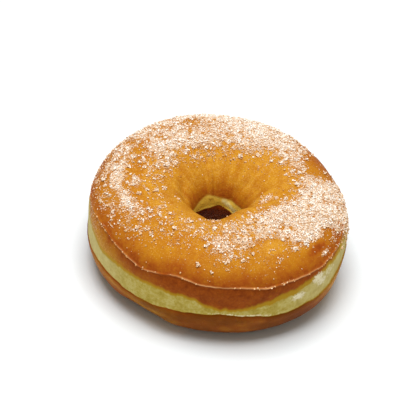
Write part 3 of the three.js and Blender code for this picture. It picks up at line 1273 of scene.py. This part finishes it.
@dataclass
class Dough:
    """The doughnut's skin as one closed mesh with the attributes that its finish reads.

    Lengths are in mm and angles in degrees. The rows fields say how many rows of faces each
    stretch of the section has.
    """

    form: DoughForm = field(default_factory=DoughForm)
    browns: BrowningAndPaintedLight = field(default_factory=BrowningAndPaintedLight)
    sugar: SugarFall = field(default_factory=SugarFall)
    columns: int = 600
    rows_foot: int = 16
    rows_edge: int = 8
    rows_band: int = 18
    rows_wall: int = 12
    rows_lip: int = 16
    rows_crown: int = 36
    rows_funnel: int = 32
    rows_throat: int = 8
    rows_throat_edge: int = 10
    rows_inner_foot: int = 9
    lip_margin: float = 1.3
    edge_margin: float = 0.9
    least_wall: float = 0.4
    throat_margin_above: float = 4.0
    throat_margin_below: float = 6.0
    crumb_relief: float = 0.07
    crumb_mm: float = 3.5
    streak_relief: float = 0.06
    relief_from: float = 2.0
    streak_mm: float = 1.6
    streak_length: float = 8.0
    streak_radius: float = 12.0
    streaks_begin: tuple[float, float] = (112.0, 22.0)
    streaks_end: tuple[float, float] = (178.0, 10.0)
    streak_paling: float = 0.12
    foot_streak_mm: float = 9.0
    foot_streak_flatness: float = 3.0
    lip_line_mm: float = 0.19
    lip_shine: float = 0.85
    lip_shine_unevenness: float = 0.9
    lip_shine_mm: float = 7.0
    stain_width: WallLine = WallLine(1.2, (Swell(212, 16, 0.4), Swell(305, 12, 1.5)))
    stain_softness: float = 2.6
    cream_softness: float = 1.8
    fibre_mm: float = 1.5
    fibre_reach: float = 0.5
    throat_blur: float = 6.0
    stain_below_foot: float = 0.7
    foot_blur: WallLine = WallLine(0.35, (Swell(340, 26, 3.0),))
    throat_top: WallLine = WallLine(173.5, (Swell(120, 18, -4.5), Swell(50, 14, -1.5)))
    throat_foot: WallLine = WallLine(186.3, (Swell(90, 15, -3.0), Swell(168, 16, -5.0)))
    # the band's sides are drier crumb, and painted lighter as where more light falls
    dry_and_lit_sides: tuple[Patch, ...] = (Patch(345, 0, (36, 60), 0.4), Patch(196, 0, (30, 60), 0.5))
    # over this patch at the front the lip's painted highlight shows in full
    bright_lip: Patch = Patch(283, 25, (36, 60), 0.9)
    light_feet: tuple[Patch, ...] = (
        Patch(342, -22, (24, 16), 0.8),
        Patch(214, -25, (22, 18), 0.8),
    )
    torn: tuple[Patch, ...] = (
        Patch(320.5, 7, (3.5, 10), 0.85),
        Patch(323, -3, (3, 5), 0.7),
        Patch(310.5, -8, (3.5, 4), 0.8),
        Patch(328, 5, (4, 9), 0.4),
    )
    # painted highlight: a thin cream line along the band's lower edge, at the front
    band_foot_highlight: Patch = Patch(285, -16, (15, 60), 0.7)
    band_foot_highlight_mm: float = 0.25
    dry_and_lit_within: tuple[float, float] = (2.0, 0.8)
    underside_share: float = 0.8
    underside_mm: float = 0.5
    underside_mean: float = 0.85
    underside_unevenness: float = 0.6
    torn_relief: float = 0.3
    torn_mm: float = 1.3
    throat_glow: tuple[Patch, ...] = (
        Patch(79, 176, (7, 3.5), 0.9),
        Patch(70, 179, (8, 3.5), 1.0),
        Patch(58, 181, (9, 3.5), 1.0),
        Patch(45, 182, (9, 4), 0.9),
    )

    def build(self) -> bpy.types.Object:
        """Makes the skin.

        Returns:
            The finished object, at the origin and in metres.
        """
        azimuth, section = self.grid()
        points, outwards = self.form.places(azimuth, section)
        streaks = self.streaks(azimuth, section)
        torn = strongest(self.torn, azimuth, section)
        rough = self.crumb_relief * field_noise(points, self.crumb_mm, NoiseSeed.CRUMB)
        rough += self.torn_relief * torn * field_noise(points, self.torn_mm, NoiseSeed.TORN_CRUMB)
        rough = (rough + self.streak_relief * streaks) * ramp(points[..., 2] / self.relief_from)
        points = points + outwards * rough[..., None]
        points[..., 2] = np.maximum(points[..., 2], 0)
        attributes = self.attributes(azimuth, section, points, streaks, torn)
        points[..., :2] += self.form.shift()
        mesh = self.closed_mesh(points)
        for name, values in attributes.items():
            layer = mesh.attributes.new(name, "FLOAT", "POINT")
            layer.data.foreach_set("value", values.ravel().astype(np.float32))
        mesh.polygons.foreach_set("use_smooth", np.ones(len(mesh.polygons), bool))
        dough = bpy.data.objects.new("dough", mesh)
        bpy.context.scene.collection.objects.link(dough)
        mesh.materials.append(FriedCrust().build())
        return dough

    def grid(self) -> tuple[Array, Array]:
        """Azimuths and section angles of the mesh's columns and rows.

        Returns:
            Two arrays, a row of each for every column of the mesh.
        """
        azimuth = np.arange(self.columns) / self.columns * 360
        lip = self.form.lip.height_at(azimuth)
        foot = self.form.band_foot.height_at(azimuth)
        top = self.form.band_top.height_at(azimuth, crinkled=False)
        below_lip = lip - self.lip_margin

        def at(height: Array) -> Array:
            """Section angles of the columns at a height each."""
            return self.form.section_at_height(azimuth, height)

        flat = np.ones(self.columns)
        throat_edge = self.form.throat_band_foot
        stations = (
            (-90 * flat, self.rows_foot),
            (at(foot - self.edge_margin), self.rows_edge),
            (at(foot + self.edge_margin), self.rows_band),
            (at(np.minimum(top, below_lip - self.least_wall)), self.rows_wall),
            (at(below_lip), self.rows_lip),
            (at(lip + self.lip_margin), self.rows_crown),
            (90 * flat, self.rows_funnel),
            (self.form.throat_band_top * flat, self.rows_throat),
            ((throat_edge - self.throat_margin_above) * flat, self.rows_throat_edge),
            ((throat_edge + self.throat_margin_below) * flat, self.rows_inner_foot),
            (270 * flat, 0),
        )
        rows = [
            start + (stations[index + 1][0] - start) * row / count
            for index, (start, count) in enumerate(stations)
            for row in range(count)
        ]
        section = np.stack(rows, axis=1)
        return np.broadcast_to(azimuth[:, None], section.shape), section

    def closed_mesh(self, points: Array) -> bpy.types.Mesh:
        """A mesh whose grid of points closes on itself both ways.

        Args:
            points: the grid in mm, columns first.

        Returns:
            The mesh, in metres, with its faces outwards.
        """
        columns, rows = points.shape[:2]
        index = np.arange(columns * rows).reshape(columns, rows)
        beside, above = np.roll(index, -1, 0), np.roll(index, -1, 1)
        across = np.roll(beside, -1, 1)
        faces = np.stack([index, beside, across, above], axis=-1).reshape(-1, 4)
        mesh = bpy.data.meshes.new("dough")
        mesh.from_pydata((points.reshape(-1, 3) * MM).tolist(), [], faces.tolist())
        mesh.update()
        return mesh

    def streaks(self, azimuth: Array, section: Array) -> Array:
        """Fine wrinkles that run down the funnel into the throat.

        Args:
            azimuth: azimuths in degrees.
            section: section angles in degrees.

        Returns:
            Values of about -1 to 1.
        """
        angle = np.radians(azimuth)
        along = section / self.streak_length
        flow = np.stack([np.cos(angle) * RIM_RADIUS, np.sin(angle) * RIM_RADIUS, along], -1)
        width = self.streak_mm * RIM_RADIUS / self.streak_radius
        wrinkles = field_noise(flow, width, NoiseSeed.WRINKLES)
        begun = ramp((section - self.streaks_begin[0]) / self.streaks_begin[1])
        return wrinkles * begun * ramp((self.streaks_end[0] - section) / self.streaks_end[1])

    def attributes(
        self, azimuth: Array, section: Array, points: Array, streaks: Array, torn: Array
    ) -> dict[str, Array]:
        """What the finish and the sugar read at each point of the skin.

        Args:
            azimuth: azimuths in degrees.
            section: section angles in degrees.
            points: points of the skin in mm.
            streaks: the funnel's wrinkles at those points.
            torn: how torn the band is there.

        Returns:
            Attribute name to values from 0 to 1.
        """
        height = points[..., 2]
        outer = on_wall(section)
        above_lip = height - self.form.lip.height_at(azimuth)
        lip_line = np.where(outer, np.exp(-((above_lip / self.lip_line_mm) ** 2)), 0)
        presence = self.form.lip_presence(azimuth)
        shining = np.maximum(presence, self.bright_lip.at(azimuth, section))
        glints = rim_noise(azimuth, self.lip_shine_mm, NoiseSeed.LIP_SHINE)
        glints = ramp(self.lip_shine + self.lip_shine_unevenness * glints)
        above_foot = height - self.form.band_foot.height_at(azimuth)
        # painted highlight: a thin cream line along the band's lower edge, at the front
        edge = (above_foot - self.band_foot_highlight_mm) / self.band_foot_highlight_mm
        band_foot_highlight_line = np.exp(-(edge**2)) * self.band_foot_highlight.at(azimuth, section)
        pale = self.paleness(azimuth, section, height)
        # the band's sides: drier crumb and painted light
        steepness, start = self.dry_and_lit_within
        dry_and_lit_share = np.where(outer, strongest(self.dry_and_lit_sides, azimuth, section), 0)
        foot_streaks = self.foot_streaks(azimuth, height)
        browned = self.browns.at(azimuth, section, height, foot_streaks)
        return {
            "browning": browned - self.streak_paling * streaks,
            "stain": self.stain(azimuth, section, height),
            "paleness": pale,
            # drier crumb and painted light on the band's sides
            "dryness": ramp(steepness * pale - start) * dry_and_lit_share,
            "glow": np.where(outer, 0, pale * strongest(self.throat_glow, azimuth, section)),
            # lip: a painted highlight along the raised lip, flecked and strongest at the front
            "lip": lip_line * shining * glints,
            # torn: real torn crumb, and the painted highlight along the band's lower edge
            "torn": np.maximum(torn, np.where(outer, band_foot_highlight_line * pale, 0)),
            # steamed: the throat band, whose crumb colour carries painted light
            "steamed": np.where(outer, 0, pale),
            "underside": self.underside(azimuth, section, height, foot_streaks),
            "rim": lip_line * presence,
            **self.sugar.attributes(azimuth, section, points),
        }

    def paleness(self, azimuth: Array, section: Array, height: Array) -> Array:
        """How unbrowned the skin is: 1 in the middle of the band, on the wall and in the throat.

        Args:
            azimuth: azimuths in degrees.
            section: section angles in degrees.
            height: heights of those places in mm.

        Returns:
            Values from 0 to 1.
        """
        rise = self.above_band_foot(azimuth, height)
        fall = self.below_band_top(azimuth, height) - self.stain_width.height_at(azimuth)
        wall = ramp(rise + 0.5) * ramp(fall / self.cream_softness + 0.5)
        into = (section - self.throat_top.height_at(azimuth)) / self.throat_blur
        out_of = self.throat_foot.height_at(azimuth) - section
        throat = ramp(into + 0.5) * ramp(out_of + 0.5)
        return np.where(on_wall(section), wall, throat)

    def above_band_foot(self, azimuth: Array, height: Array) -> Array:
        """How far above the band's lower edge places lie, in widths of that edge's blur."""
        above = height - self.form.band_foot.height_at(azimuth)
        return above / self.foot_blur.height_at(azimuth)

    def below_band_top(self, azimuth: Array, height: Array) -> Array:
        """How far below the band's fibrous upper edge places lie, in mm."""
        fibres = self.fibre_reach * rim_noise(azimuth, self.fibre_mm, NoiseSeed.FIBRES)
        return self.form.band_top.height_at(azimuth) - height + fibres

    def stain(self, azimuth: Array, section: Array, height: Array) -> Array:
        """How strongly the frying oil has stained the skin in and beside the band.

        Args:
            azimuth: azimuths in degrees.
            section: section angles in degrees.
            height: heights of those places in mm.

        Returns:
            Values from 0 to 1.
        """
        rise = self.above_band_foot(azimuth, height) + self.stain_below_foot
        fall = self.below_band_top(azimuth, height) / self.stain_softness
        wall = ramp(rise) * ramp(fall + 0.5)
        return np.where(on_wall(section), wall, self.paleness(azimuth, section, height))

    def underside(
        self, azimuth: Array, section: Array, height: Array, foot_streaks: Array
    ) -> Array:
        """How much of the duller brown below the band shows.

        Args:
            azimuth: azimuths in degrees.
            section: section angles in degrees.
            height: heights of those places in mm.
            foot_streaks: the foot's streaks there, about -1 to 1.

        Returns:
            Values from 0 to 1.
        """
        below_foot = self.form.band_foot.height_at(azimuth) - height
        below = ramp(below_foot / self.underside_mm + 0.5)
        below = below * (1 - sum(patch.at(azimuth, section) for patch in self.light_feet))
        uneven = self.underside_mean - self.underside_unevenness * foot_streaks
        below = below * np.clip(uneven, 0, 1)
        under = ramp((section - self.browns.base_from) / self.browns.base_degrees)
        return self.underside_share * np.where(on_wall(section), below, under)

    def foot_streaks(self, azimuth: Array, height: Array) -> Array:
        """Soft level streaks of lighter and darker brown round the foot.

        Args:
            azimuth: azimuths in degrees.
            height: heights in mm.

        Returns:
            Values of about -1 to 1.
        """
        angle = np.radians(azimuth)
        level = height * self.foot_streak_flatness
        flow = np.stack([np.cos(angle) * RIM_RADIUS, np.sin(angle) * RIM_RADIUS, level], -1)
        return field_noise(flow, self.foot_streak_mm, NoiseSeed.FOOT_STREAKS)


@dataclass
class SugarCoat:
    """The loose sugar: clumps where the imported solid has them, and four sorts of grain.

    The crumbs along the lip lie in the same way, so they are made here too. Lengths are in mm.
    """

    form: DoughForm = field(default_factory=DoughForm)
    rule: ClumpRule = field(default_factory=ClumpRule)
    sorts: tuple[Scatter, ...] = (
        Scatter("sugar_coarse", GrainShape.CHIP, 0.5, 0.85, 0.55, 1.4, "sugar", 5),
        Scatter("sugar_medium", GrainShape.BLOCK, 0.38, 0.62, 0.4, 3.8, "sugar", 6),
        Scatter("sugar_fine", GrainShape.BLOCK, 0.28, 0.42, 0.3, 4.0, "dusting", 7),
        Scatter("sugar_dust", GrainShape.SPLINTER, 0.18, 0.3, 0.22, 4.5, "dusting", 8),
        Scatter("lip_crumbs", GrainShape.BLOCK, 0.2, 0.6, 0.45, 3.0, "rim", 9, DRIED_CRUMB),
    )
    variants: int = 6
    proportions: tuple[float, float, float] = (1.0, 0.85, 0.7)
    unevenness: float = 0.28
    splinter_length: float = 1.3
    least_cut: float = 0.35
    cut_spread: float = 0.4
    stand: float = 0.18
    clump_grains: int = 12
    clump_spread: float = 1.1
    clump_flatness: float = 0.6
    heart_size: float = 0.5
    grain_size: float = 0.25
    grain_size_spread: float = 0.22
    thin_whiteness: float = 0.3
    thick_whiteness: float = 0.35
    whiteness_spread: float = 0.4
    crystal_seed: int = 1000
    clump_crystals: int = 20
    loose_crystals: int = 40
    clump_seed: int = 77
    least_stretch: tuple[float, float, float] = (0.75, 0.75, 0.7)
    most_stretch: tuple[float, float, float] = (1.15, 1.1, 1.0)
    most_tone: float = 0.6
    crowd_tone: float = 0.5
    tumble_seed: int = 2
    stretch_seed: int = 3
    tone_seed: int = 4

    def build(self, dough: bpy.types.Object) -> list[bpy.types.Object]:
        """Makes every piece of sugar.

        Args:
            dough: the skin that the sugar lies on.

        Returns:
            One object for the clumps and one for each sort of grain.
        """
        finishes = {finish: finish.build() for finish in (GRANULATED_SUGAR, DRIED_CRUMB)}
        pieces = [self.clumps(finishes[GRANULATED_SUGAR])]
        for scatter in self.sorts:
            pieces.append(self.scattered(dough, scatter, finishes[scatter.finish]))
        return pieces

    def crystal(self, seed: int, shape: GrainShape) -> bpy.types.Mesh:
        """One crystal of unit size with uneven corners.

        Args:
            seed: number that picks its unevenness.
            shape: the shape that it starts from.

        Returns:
            A closed mesh about the origin.
        """
        draw = random_stream(self.crystal_seed + seed)
        hull = bmesh.new()
        ends = [[1 if corner >> axis & 1 else -1 for axis in range(3)] for corner in range(8)]
        if shape is GrainShape.SPLINTER:
            ends = [
                [side * (axis == only) * self.splinter_length for axis in range(3)]
                for only in range(3)
                for side in (-1, 1)
            ]
        for signs in ends:
            at = Vector([sign * part / 2 for sign, part in zip(signs, self.proportions)])
            at *= 1 + self.unevenness * (draw() - 0.5)
            if shape is GrainShape.CHIP:
                for axis in range(3):
                    cut = at.copy()
                    cut[axis] *= self.least_cut + self.cut_spread * draw()
                    hull.verts.new(cut)
            else:
                hull.verts.new(at)
        bmesh.ops.convex_hull(hull, input=hull.verts)
        bmesh.ops.triangulate(hull, faces=hull.faces)
        bmesh.ops.recalc_face_normals(hull, faces=hull.faces)
        mesh = bpy.data.meshes.new(f"crystal_{shape.value}_{seed}")
        hull.to_mesh(mesh)
        hull.free()
        return mesh

    def clumps(self, material: bpy.types.Material) -> bpy.types.Object:
        """Makes the clumps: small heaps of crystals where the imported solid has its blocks.

        Args:
            material: the sugar's material.

        Returns:
            One object with every clump.
        """
        draw = random_stream(self.clump_seed)
        crystals = [
            self.crystal(self.clump_crystals + index, GrainShape.BLOCK)
            for index in range(self.variants)
        ]
        heaps = bmesh.new()
        whiteness: list[float] = []
        shift = Vector((*self.form.shift(), 0))
        for place, outwards, size, share in self.rule.clumps(self.form):
            middle = place + shift + outwards * size * self.stand
            crowd = self.thin_whiteness + self.thick_whiteness * share
            for grain in range(self.clump_grains):
                spread = Vector([draw() - 0.5 for _ in range(3)]) * size * self.clump_spread
                spread -= outwards * spread.dot(outwards) * self.clump_flatness
                if grain == 0:
                    scale = size * self.heart_size
                else:
                    scale = size * (self.grain_size + self.grain_size_spread * draw())
                turn = Euler([draw() * math.tau for _ in range(3)]).to_matrix().to_4x4()
                at = middle if grain == 0 else middle + spread
                matrix = Matrix.Translation(at * MM) @ turn @ Matrix.Scale(scale * MM, 4)
                before = len(heaps.verts)
                heaps.from_mesh(crystals[int(draw() * self.variants)])
                heaps.verts.ensure_lookup_table()
                fresh = heaps.verts[before:]
                bmesh.ops.transform(heaps, matrix=matrix, verts=fresh)
                whiteness += [crowd + self.whiteness_spread * draw()] * len(fresh)
        mesh = bpy.data.meshes.new("sugar_clumps")
        heaps.to_mesh(mesh)
        heaps.free()
        layer = mesh.attributes.new("whiteness", "FLOAT", "POINT")
        layer.data.foreach_set("value", whiteness)
        mesh.materials.append(material)
        clumps = bpy.data.objects.new("sugar_clumps", mesh)
        bpy.context.scene.collection.objects.link(clumps)
        return clumps

    def scattered(
        self, dough: bpy.types.Object, scatter: Scatter, material: bpy.types.Material
    ) -> bpy.types.Object:
        """Scatters one sort of grain over the skin with Geometry Nodes, as a plain mesh.

        Args:
            dough: the skin, with the attributes that say where grains lie.
            scatter: how this sort lies.
            material: the grains' material.

        Returns:
            The grains as one object.
        """
        crystals = bpy.data.collections.new(f"{scatter.name}_crystals")
        for index in range(self.variants):
            mesh = self.crystal(self.loose_crystals + index, scatter.shape)
            crystals.objects.link(bpy.data.objects.new(mesh.name, mesh))
        tree = self.scatter_tree(scatter.name)
        host = bpy.data.objects.new(f"{scatter.name}_host", dough.data)
        bpy.context.scene.collection.objects.link(host)
        modifier = host.modifiers.new("scatter", "NODES")
        modifier.node_group = tree
        values = {
            "Crystals": crystals,
            "Where": scatter.where,
            "Spacing": scatter.spacing * MM,
            "Most": scatter.most_per_mm2 / MM**2,
            "Smallest": scatter.smallest * MM,
            "Largest": scatter.largest * MM,
            "Stand": self.stand,
            "Seed": scatter.seed,
            "Material": material,
        }
        for socket in tree.interface.items_tree:
            if socket.in_out == "INPUT" and socket.name in values:
                modifier[socket.identifier] = values[socket.name]
        depsgraph = bpy.context.evaluated_depsgraph_get()
        mesh = bpy.data.meshes.new_from_object(
            host.evaluated_get(depsgraph), preserve_all_data_layers=True, depsgraph=depsgraph
        )
        bpy.data.objects.remove(host)
        for crystal in list(crystals.objects):
            bpy.data.objects.remove(crystal)
        bpy.data.collections.remove(crystals)
        mesh.name = scatter.name
        grains = bpy.data.objects.new(scatter.name, mesh)
        bpy.context.scene.collection.objects.link(grains)
        return grains

    def scatter_tree(self, name: str) -> bpy.types.NodeTree:
        """The Geometry Nodes tree that scatters crystals over a skin.

        A random value node has a lowest and a highest input for each sort of value: inputs 0 and 1
        and output 0 are for vectors, inputs 2 and 3 and output 1 for numbers.

        Args:
            name: the tree's name.

        Returns:
            The tree, with named inputs for its sizes.
        """
        tree = bpy.data.node_groups.new(name, "GeometryNodeTree")
        sockets = (
            ("Skin", "NodeSocketGeometry"),
            ("Crystals", "NodeSocketCollection"),
            ("Where", "NodeSocketString"),
            ("Spacing", "NodeSocketFloat"),
            ("Most", "NodeSocketFloat"),
            ("Smallest", "NodeSocketFloat"),
            ("Largest", "NodeSocketFloat"),
            ("Stand", "NodeSocketFloat"),
            ("Seed", "NodeSocketInt"),
            ("Material", "NodeSocketMaterial"),
        )
        for label, kind in sockets:
            tree.interface.new_socket(name=label, in_out="INPUT", socket_type=kind)
        tree.interface.new_socket(name="Grains", in_out="OUTPUT", socket_type="NodeSocketGeometry")
        given = add_node(tree, "NodeGroupInput").outputs
        density = add_node(tree, "GeometryNodeInputNamedAttribute", {"Name": given["Where"]})
        spots = add_node(
            tree,
            "GeometryNodeDistributePointsOnFaces",
            {
                "Mesh": given["Skin"],
                "Seed": given["Seed"],
                "Distance Min": given["Spacing"],
                "Density Max": given["Most"],
                "Density Factor": density.outputs["Attribute"],
            },
            distribute_method="POISSON",
        )
        size = add_node(
            tree,
            "FunctionNodeRandomValue",
            {2: given["Smallest"], 3: given["Largest"], "Seed": given["Seed"]},
            data_type="FLOAT",
        )
        lift = add_node(
            tree, "ShaderNodeMath", {0: size.outputs[1], 1: given["Stand"]}, operation="MULTIPLY"
        )
        out = add_node(
            tree,
            "ShaderNodeVectorMath",
            {0: spots.outputs["Normal"], "Scale": lift.outputs[0]},
            operation="SCALE",
        )
        raised = add_node(
            tree,
            "GeometryNodeSetPosition",
            {"Geometry": spots.outputs["Points"], "Offset": out.outputs[0]},
        )
        tumble = add_node(
            tree,
            "FunctionNodeRandomValue",
            {0: (0, 0, 0), 1: (math.tau,) * 3, "Seed": self.tumble_seed},
            data_type="FLOAT_VECTOR",
        )
        stretch = add_node(
            tree,
            "FunctionNodeRandomValue",
            {0: self.least_stretch, 1: self.most_stretch, "Seed": self.stretch_seed},
            data_type="FLOAT_VECTOR",
        )
        scale = add_node(
            tree,
            "ShaderNodeVectorMath",
            {0: stretch.outputs[0], "Scale": size.outputs[1]},
            operation="SCALE",
        )
        chosen = add_node(
            tree,
            "GeometryNodeCollectionInfo",
            {"Collection": given["Crystals"], "Separate Children": True, "Reset Children": True},
        )
        placed = add_node(
            tree,
            "GeometryNodeInstanceOnPoints",
            {
                "Points": raised.outputs["Geometry"],
                "Instance": chosen.outputs[0],
                "Pick Instance": True,
                "Rotation": tumble.outputs[0],
                "Scale": scale.outputs[0],
            },
        )
        tone = add_node(
            tree, "FunctionNodeRandomValue", {2: 0.0, 3: self.most_tone, "Seed": self.tone_seed}
        )
        crowd = add_node(tree, "GeometryNodeInputNamedAttribute", {"Name": "crowd"})
        white = add_node(
            tree,
            "ShaderNodeMath",
            {0: crowd.outputs["Attribute"], 1: self.crowd_tone, 2: tone.outputs[1]},
            operation="MULTIPLY_ADD",
        )
        toned = add_node(
            tree,
            "GeometryNodeStoreNamedAttribute",
            {"Geometry": placed.outputs[0], "Name": "whiteness", "Value": white.outputs[0]},
            data_type="FLOAT",
            domain="INSTANCE",
        )
        joined = add_node(tree, "GeometryNodeRealizeInstances", {"Geometry": toned.outputs[0]})
        dressed = add_node(
            tree,
            "GeometryNodeSetMaterial",
            {"Geometry": joined.outputs[0], "Material": given["Material"]},
        )
        add_node(tree, "NodeGroupOutput", {"Grains": dressed.outputs[0]})
        return tree


# Studio


@dataclass
class Studio:
    """A pale floor, soft light from straight above, and the camera at the photograph's view.

    The camera looks along +Y from above. Its place in the frame is given by the pixel of the
    420 by 420 picture where the middle of the doughnut falls. The camera's lengths are in mm, and
    those of the floor and the lamp in metres.
    """

    shift: Array
    frame_pixels: float = 420.0
    elevation: float = 42.5
    distance: float = 600.0
    roll: float = 6.52
    target_height: float = 18.0
    pixels_per_mm: float = 2.7927
    target_pixel: tuple[float, float] = (217.75, 219.3)
    sensor: float = 36.0
    floor_side: float = 6.0
    floor_colour: str = "EDF2F7"
    floor_roughness: float = 0.9
    sky_colour: str = "FAF6E4"
    sky_strength: float = 0.36
    light_colour: str = "FFFFFF"
    light_at: tuple[float, float, float] = (-0.04, -0.02, 0.8)
    light_side: float = 0.48
    light_watts: float = 7.0

    def build(self) -> None:
        """Makes the floor, the lights and the camera."""
        self.floor()
        self.light()
        self.camera()
        bpy.context.scene.view_settings.view_transform = "Standard"

    def floor(self) -> None:
        """Makes the pale floor that the doughnut rests on."""
        half = self.floor_side / 2
        corners = [(-half, -half, 0), (half, -half, 0), (half, half, 0), (-half, half, 0)]
        mesh = bpy.data.meshes.new("floor")
        mesh.from_pydata(corners, [], [(0, 1, 2, 3)])
        material = bpy.data.materials.new("painted_board")
        material.use_nodes = True
        shader = material.node_tree.nodes["Principled BSDF"]
        shader.inputs["Base Color"].default_value = linear(self.floor_colour)
        shader.inputs["Roughness"].default_value = self.floor_roughness
        shader.inputs["Specular IOR Level"].default_value = 0.0
        mesh.materials.append(material)
        floor = bpy.data.objects.new("floor", mesh)
        bpy.context.scene.collection.objects.link(floor)

    def light(self) -> None:
        """Makes an even sky and one large soft lamp."""
        world = bpy.data.worlds.new("studio")
        world.use_nodes = True
        sky = world.node_tree.nodes["Background"]
        sky.inputs["Color"].default_value = linear(self.sky_colour)
        sky.inputs["Strength"].default_value = self.sky_strength
        bpy.context.scene.world = world
        lamp = bpy.data.lights.new("softbox", "AREA")
        lamp.shape = "SQUARE"
        lamp.size = self.light_side
        lamp.energy = self.light_watts
        lamp.color = linear(self.light_colour)[:3]
        softbox = bpy.data.objects.new("softbox", lamp)
        softbox.location = self.light_at
        softbox.rotation_euler = Vector(self.light_at).to_track_quat("Z", "Y").to_euler()
        bpy.context.scene.collection.objects.link(softbox)

    def camera(self) -> None:
        """Makes the camera at the photograph's viewing angle."""
        tilt = math.radians(self.elevation)
        turn = math.radians(self.roll)
        back = Vector((0, -math.cos(tilt), math.sin(tilt)))
        right = Vector((1, 0, 0))
        up = Vector((0, math.sin(tilt), math.cos(tilt)))
        rolled_right = right * math.cos(turn) + up * math.sin(turn)
        rolled_up = up * math.cos(turn) - right * math.sin(turn)
        data = bpy.data.cameras.new("camera")
        data.sensor_width = self.sensor
        data.lens = self.pixels_per_mm * self.distance / self.frame_pixels * self.sensor
        data.shift_x = 0.5 - self.target_pixel[0] / self.frame_pixels
        data.shift_y = self.target_pixel[1] / self.frame_pixels - 0.5
        camera = bpy.data.objects.new("camera", data)
        target = Vector((*self.shift, self.target_height))
        facing = Matrix((rolled_right, rolled_up, back)).transposed().to_4x4()
        camera.matrix_world = Matrix.Translation((target + back * self.distance) * MM) @ facing
        bpy.context.scene.collection.objects.link(camera)
        bpy.context.scene.camera = camera


def main() -> None:
    """Builds the doughnut's pieces in order and attaches them to the root body."""
    logging.basicConfig(level=logging.INFO, format="%(name)s: %(message)s")
    Studio(DoughForm().shift()).build()
    dough = Dough().build()
    sugar = SugarCoat().build(dough)
    for piece in (dough, *sugar):
        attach(piece, BODY)
        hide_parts(NODE)
        triangles = sum(len(face.vertices) - 2 for face in piece.data.polygons)
        LOG.info("%s: %d triangles", piece.name, triangles)


if __name__ == "__main__":
    main()
